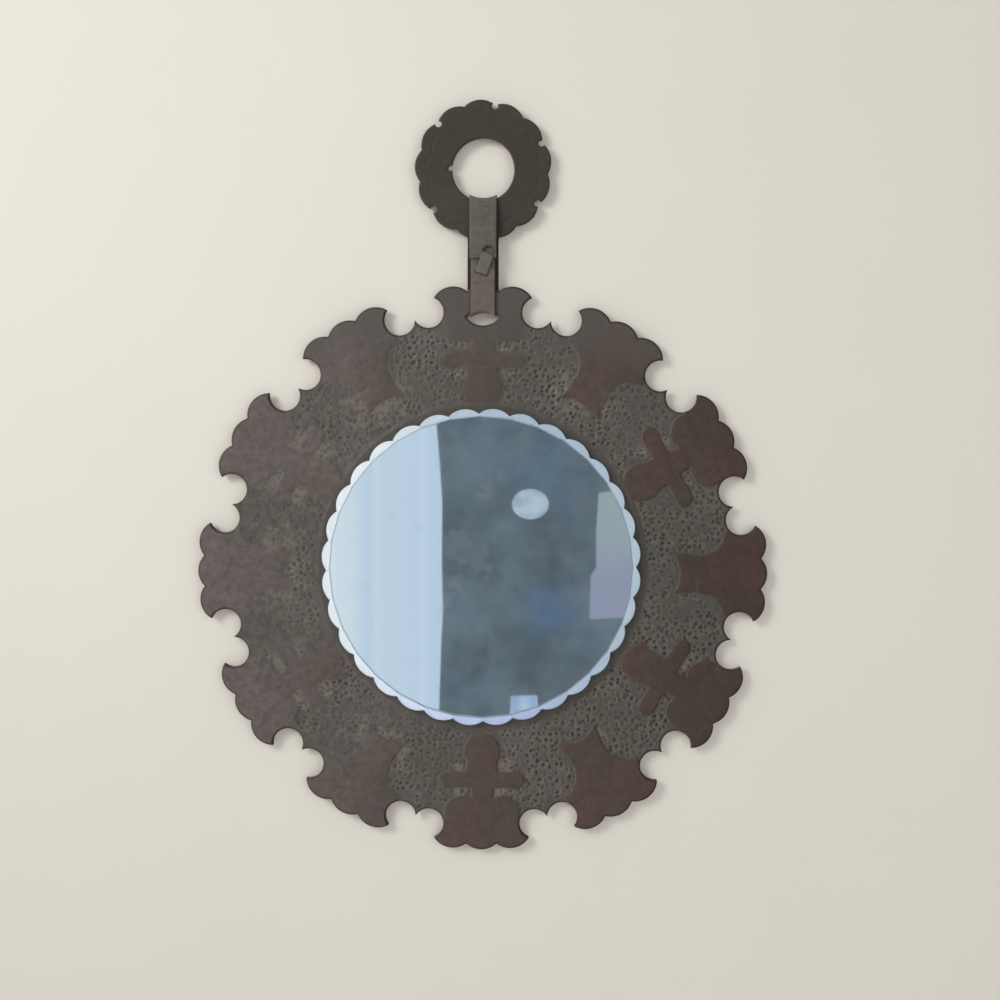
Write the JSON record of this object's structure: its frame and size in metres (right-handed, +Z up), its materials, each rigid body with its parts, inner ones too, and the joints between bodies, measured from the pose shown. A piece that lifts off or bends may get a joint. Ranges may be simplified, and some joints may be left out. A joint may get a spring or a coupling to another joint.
{
  "type": "tooled leather wall mirror",
  "caption": "Round wall mirror in a lobed, gouge-cut leather panel with carved and stippled figures, hung by a lapped and laced strap from a scalloped leather ring.",
  "frame": {"origin": "middle of the ring's hole, halfway through the ring's leather", "axes": "+Z up to the crest of the ring, the face looks along -Y, +X to the viewer's right"},
  "size_m": [0.5358, 0.0156, 0.7033],
  "materials": {
    "ring_leather": "near-black brown harness leather, smooth, amber-brown cut edges",
    "strap_leather": "worn grey-brown strap leather, dry, dark cut edges",
    "lace_leather": "worn grey-brown lace leather",
    "panel_leather": "dark red-brown smooth figures on a stippled grey-brown ground",
    "mastic": "set mirror mastic",
    "silvering": "silvered back with grey backing paint",
    "bevelled_glass": "clear mirror glass with ground facets"
  },
  "bodies": {
    "ring": {"hanging_ring": "ring_leather"},
    "strap": {"hanging_strap": "strap_leather", "strap_lace": "lace_leather"},
    "panel": {"tooled_panel": "panel_leather", "mirror_adhesive": "mastic", "mirror_silvering": "silvering", "mirror_glass": "bevelled_glass"}
  },
  "joints": [
    {"name": "ring_turn", "type": "hinge", "parent": "ring", "child": "strap", "pos_m": [0, 0, 0], "axis": [0, -1, 0], "continuous": true},
    {"name": "panel_swing", "type": "hinge", "parent": "strap", "child": "panel", "pos_m": [0, 0, -0.0835], "axis": [-1, 0, 0], "range_deg": [-90, 90], "deforming": ["hanging_strap"]}
  ]
}
